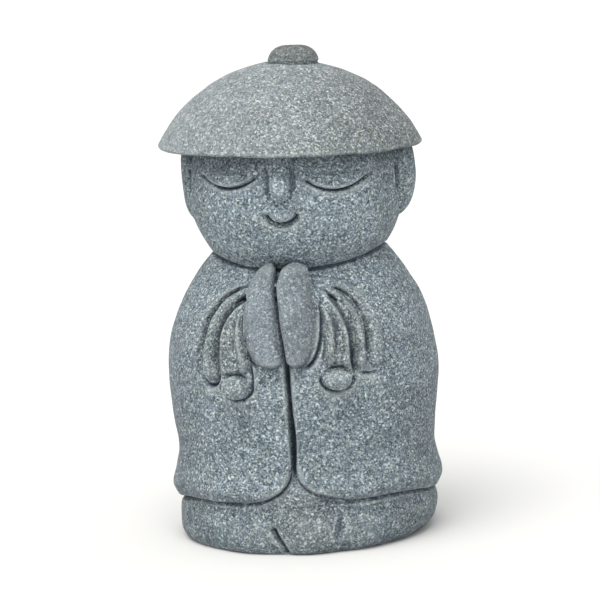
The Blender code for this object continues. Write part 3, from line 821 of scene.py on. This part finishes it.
def keep_finish_and_shade(mesh):
    """Three values for the finish and the painted shade at each vertex. Smoothness is 1 on the hands, about
    half on the hat, most at the viewer's left, and 0 elsewhere. Tone and shade is how much paler or darker
    the colour is: the hat pales to the viewer's left, the cheeks are pale and the knob is darker, while
    painted shade darkens the brow and the ears under the brim, the right hand, the sides, the foot and the
    toes, and grime with painted shade darkens the sleeves. Warmth is 1 on the hat and part of it on the
    sleeves and the toes."""
    places, _ = mesh_arrays(mesh)
    x, z = places[:, 0], places[:, 2]
    in_front = places[:, 1] < features_front
    across = x / hat_radius
    hands = on_hands(places)
    hat = ease((z - hat_seat[2] + brim_drop) / (0.5 * mm))
    knob = ease((z - hat_seat[2] - hat_rise) / (0.4 * mm))
    face = ease((z - neck_height) / (3 * mm)) * (1 - hat)
    body = (1 - hat) * (1 - face)
    brow = ease((z - head_middle[2] - 1.5 * mm) / (6 * mm))
    ears = ease((np.abs(x) - 15 * mm) / (5 * mm))
    sides = ease((np.abs(x) - 14 * mm) / (10 * mm))
    foot = 1 - ease(z / (26 * mm))
    sleeves = bell(np.hypot((np.abs(x) - 11.5 * mm) / (9.5 * mm), (z - 44 * mm) / (12.5 * mm)))
    sleeves = sleeves * in_front * ~hands
    toe_part = bell((x - 2 * mm) / (13 * mm)) * bell((z - 6 * mm) / (10 * mm)) * in_front
    right_hand_shade = hands * ease((x + 1 * mm) / (6 * mm))
    tone_and_shade = all_over_pale + hat * (-hat_pale * across - hat_dark * ease((across - 0.10) / 0.6))
    # Painted shade of the brim darkens the brow and the ears.
    tone_and_shade += face * (cheek_pale - brow_brim_shade * brow - ear_brim_shade * ears) - knob_dark * knob
    # Painted shade darkens the body's sides, its foot and the toes; grime with painted shade darkens the
    # sleeves.
    tone_and_shade -= body * (side_shade * sides + foot_shade * foot + sleeve_grime_and_shade * sleeves + toe_shade * toe_part)
    # Painted shade darkens the right hand towards its outer side.
    tone_and_shade -= hand_shade * right_hand_shade
    hat_smooth = (hat_smoothness - hat_smoothness_fall * across) * hat * (1 - knob)
    keep(mesh, "finish", np.where(hands, 1.0, hat_smooth))
    keep(mesh, "tone_and_shade", tone_and_shade)
    keep(mesh, "warmth", hat + body * (sleeve_warmth * sleeves + toe_warmth * toe_part))


keep_hollows(monk.data)
keep_finish_and_shade(monk.data)
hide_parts("monk_figurine")
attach(monk, "root")


# The stone: grains of grey, green-grey and near-white powder about half a millimetre across, bound with
# resin and left matt. Each grain stands out a little, so that the surface sparkles under soft light.
coarse_to_the_mm, small_to_the_mm, patches_to_the_mm = 2.7, 4.8, 0.16
coarse_grains = (
    (0.00, (26, 34, 36)), (0.16, (58, 68, 72)), (0.45, (98, 108, 113)), (0.78, (124, 133, 138)),
    (0.91, (172, 177, 177)), (1.00, (218, 220, 216)),
)
small_grains = ((0.00, (24, 33, 34)), (0.32, (80, 90, 93)), (0.72, (126, 134, 139)), (1.00, (216, 217, 214)))
small_share = 0.42
grain_tints = ((0.00, (1.10, 1.01, 0.88)), (0.35, (0.96, 1.03, 0.97)), (0.70, (0.95, 0.99, 1.10)),
               (1.00, (1.07, 0.97, 1.08)))
cool_cast, plain_cast = (0.93, 1.0, 1.05, 1.0), (1.01, 1.0, 0.97, 1.0)
# The hollows' dark colour is a dark wash together with painted shade; the pale edge colour is wear together
# with a painted highlight.
even_grey, hollow_grime_and_shade, edge_wear_and_highlight = (108, 115, 121), (28, 44, 60), (172, 180, 180)
grain_stand, grain_strength = 0.00016, 0.55
stone_roughness, stone_sheen = 0.82, 0.35
# How each kept value counts: from and to which value, and the share of its colour, or the brightness, there.
smooth_range, patch_range = (0.0, 1.0, 0.0, 0.45), (0.3, 0.7, 0.84, 1.00)
wide_grime_and_shade_range, near_grime_and_shade_range, edge_wear_and_highlight_range = (0.08, 0.80, 0.0, 0.82), (0.03, 0.26, 0.0, 0.70), (-0.04, -0.18, 0.0, 0.34)


def add_node(tree, kind, **settings):
    """A new node of the material with its settings."""
    node = tree.nodes.new(kind)
    for name, value in settings.items():
        setattr(node, name, value)
    return node


def linear(r, g, b):
    """A colour named by its screen values from 0 to 255, as the light it stands for."""
    return tuple((v / 255 / 12.92) if v <= 10 else ((v / 255 + 0.055) / 1.055) ** 2.4 for v in (r, g, b))


def kept(tree, name):
    """The value stored on the vertices under that name."""
    return add_node(tree, "ShaderNodeAttribute", attribute_name=name).outputs["Fac"]


def sized(tree, place, kind, to_the_mm):
    """A texture on the piece's own coordinates, at so many cells to the millimetre."""
    texture = add_node(tree, kind)
    texture.inputs["Scale"].default_value = to_the_mm * 1000
    tree.links.new(place.outputs["Object"], texture.inputs["Vector"])
    return texture


def feed(tree, value, socket):
    """Gives a socket its value, from another node or as it stands."""
    if isinstance(value, bpy.types.NodeSocket):
        tree.links.new(value, socket)
    else:
        socket.default_value = value


def mixed(tree, first, second, factor, blend="MIX"):
    """The first colour blended with the second by the factor."""
    mix = add_node(tree, "ShaderNodeMix", data_type="RGBA", blend_type=blend)
    for value, socket in ((first, mix.inputs[6]), (second, mix.inputs[7]), (factor, mix.inputs[0])):
        feed(tree, value, socket)
    return mix.outputs[2]


def ranged(tree, value, low, high, to_low, to_high):
    """The value moved in a straight line from one range to the other, and held at the ends."""
    limits = add_node(tree, "ShaderNodeMapRange")
    for name, number in (("Value", value), ("From Min", low), ("From Max", high), ("To Min", to_low),
                         ("To Max", to_high)):
        feed(tree, number, limits.inputs[name])
    return limits.outputs["Result"]


def grain_colour(tree, grains, channel, stops):
    """One colour for each grain, picked from the stops by one channel of the grain's chance colour."""
    pick = add_node(tree, "ShaderNodeSeparateColor")
    tree.links.new(grains.outputs["Color"], pick.inputs["Color"])
    ramp = add_node(tree, "ShaderNodeValToRGB")
    while len(ramp.color_ramp.elements) < len(stops):
        ramp.color_ramp.elements.new(0.5)
    for element, (place, colour) in zip(ramp.color_ramp.elements, stops):
        element.position = place
        element.color = (*colour, 1.0)
    tree.links.new(pick.outputs[channel], ramp.inputs["Fac"])
    return ramp.outputs["Color"]


def make_stone():
    """Grain colours, mixed and tinted, then the finish: evened out where it is smooth, scaled by tone with
    painted shade and by patches, darkened in the hollows by a dark wash with painted shade, and paled on
    the edges by wear with a painted highlight."""
    stone = bpy.data.materials.new("speckled_cast_stone")
    stone.use_nodes = True
    tree = stone.node_tree
    shader = tree.nodes["Principled BSDF"]
    place = add_node(tree, "ShaderNodeTexCoord")
    grains = sized(tree, place, "ShaderNodeTexVoronoi", coarse_to_the_mm)
    fine = sized(tree, place, "ShaderNodeTexVoronoi", small_to_the_mm)
    patches = sized(tree, place, "ShaderNodeTexNoise", patches_to_the_mm)
    coarse = grain_colour(tree, grains, "Red", [(at, linear(*colour)) for at, colour in coarse_grains])
    small = grain_colour(tree, fine, "Green", [(at, linear(*colour)) for at, colour in small_grains])
    tint = grain_colour(tree, fine, "Blue", grain_tints)
    colour = mixed(tree, mixed(tree, coarse, small, small_share), tint, 1.0, "MULTIPLY")
    cool, plain = (mixed(tree, colour, cast, 1.0, "MULTIPLY") for cast in (cool_cast, plain_cast))
    colour = mixed(tree, cool, plain, kept(tree, "warmth"))
    smoothness = ranged(tree, kept(tree, "finish"), *smooth_range)
    colour = mixed(tree, colour, (*linear(*even_grey), 1.0), smoothness)
    shade = add_node(tree, "ShaderNodeMath", operation="ADD")
    tree.links.new(ranged(tree, patches.outputs["Fac"], *patch_range), shade.inputs[0])
    tree.links.new(kept(tree, "tone_and_shade"), shade.inputs[1])
    toned = add_node(tree, "ShaderNodeVectorMath", operation="SCALE")
    tree.links.new(colour, toned.inputs[0])
    tree.links.new(shade.outputs[0], toned.inputs["Scale"])
    near, wide = kept(tree, "hollow_near"), kept(tree, "hollow_wide")
    grime_and_shade, wear_and_highlight = (*linear(*hollow_grime_and_shade), 1.0), (*linear(*edge_wear_and_highlight), 1.0)
    # A dark wash and painted shade in the wide and the near hollows.
    colour = mixed(tree, toned.outputs[0], grime_and_shade, ranged(tree, wide, *wide_grime_and_shade_range))
    colour = mixed(tree, colour, grime_and_shade, ranged(tree, near, *near_grime_and_shade_range))
    # Wear and a painted highlight on the edges.
    colour = mixed(tree, colour, wear_and_highlight, ranged(tree, near, *edge_wear_and_highlight_range))
    tree.links.new(colour, shader.inputs["Base Color"])
    bump = add_node(tree, "ShaderNodeBump", invert=True)
    bump.inputs["Strength"].default_value = grain_strength
    bump.inputs["Distance"].default_value = grain_stand
    tree.links.new(grains.outputs["Distance"], bump.inputs["Height"])
    tree.links.new(bump.outputs["Normal"], shader.inputs["Normal"])
    shader.inputs["Roughness"].default_value = stone_roughness
    shader.inputs["Specular IOR Level"].default_value = stone_sheen
    return stone


monk.data.materials.clear()
monk.data.materials.append(make_stone())


# The floor is a plain pale sweep. The light is a soft white surround, a broad lamp high in front at the
# viewer's left, and a weak broad lamp low in front.
floor_reach, floor_grey, floor_roughness = 6.0, 0.58, 0.9
# Each lamp: the way its light goes, the angle it is spread over, its power and its colour.
lamps = {
    "key": ((0.12, 0.42, -0.90), 48, 3.1, (1.0, 0.98, 0.93)),
    "fill": ((-0.05, 1.0, 0.15), 60, 0.9, (0.97, 1.0, 0.99)),
}


def make_floor():
    """A flat square at the height of the figure's foot."""
    mesh = bpy.data.meshes.new("floor")
    corners = [(x * floor_reach, y * floor_reach, 0) for x, y in ((-1, -1), (1, -1), (1, 1), (-1, 1))]
    mesh.from_pydata(corners, [], [(0, 1, 2, 3)])
    pale = bpy.data.materials.new("pale_floor")
    pale.use_nodes = True
    shader = pale.node_tree.nodes["Principled BSDF"]
    shader.inputs["Base Color"].default_value = (floor_grey, floor_grey, floor_grey, 1.0)
    shader.inputs["Roughness"].default_value = floor_roughness
    mesh.materials.append(pale)
    return placed("floor", mesh)


make_floor()
for name, (way, spread, power, colour) in lamps.items():
    lamp = bpy.data.lights.new(name, "SUN")
    lamp.angle = math.radians(spread)
    lamp.energy = power
    lamp.color = colour
    holder = placed(name, lamp)
    holder.rotation_euler = Vector(way).to_track_quat("-Z", "Y").to_euler()
surround = bpy.data.worlds.new("surround")
surround.use_nodes = True
surround.node_tree.nodes["Background"].inputs["Color"].default_value = (1.0, 1.0, 1.0, 1.0)
surround.node_tree.nodes["Background"].inputs["Strength"].default_value = 1.0
bpy.context.scene.world = surround
bpy.context.scene.view_settings.view_transform = "Standard"


# The camera looks down a little from the viewer's right, and is rolled so that the figure leans left.
view_turn, view_rise, view_roll = math.radians(7.5), math.radians(9.0), math.radians(2.7)
view_distance = 0.650
view_target = Vector((0.0, 0.0, 0.0476))
pixels_per_metre, frame_pixels = 4880.0, 600.0
sensor_width = 36.0


def make_camera():
    """A camera at a distance from its target, whose focal length puts so many pixels on a metre there."""
    level = math.cos(view_rise)
    back = Vector((math.sin(view_turn) * level, -math.cos(view_turn) * level, math.sin(view_rise)))
    right = Vector((math.cos(view_turn), math.sin(view_turn), 0.0))
    up = back.cross(right)
    rolled_right = right * math.cos(view_roll) - up * math.sin(view_roll)
    rolled_up = up * math.cos(view_roll) + right * math.sin(view_roll)
    lens = bpy.data.cameras.new("camera")
    lens.sensor_width = sensor_width
    lens.lens = sensor_width * pixels_per_metre * view_distance / frame_pixels
    camera = placed("camera", lens)
    turn = Matrix((rolled_right, rolled_up, back)).transposed().to_4x4()
    camera.matrix_world = Matrix.Translation(view_target + back * view_distance) @ turn
    bpy.context.scene.camera = camera


make_camera()
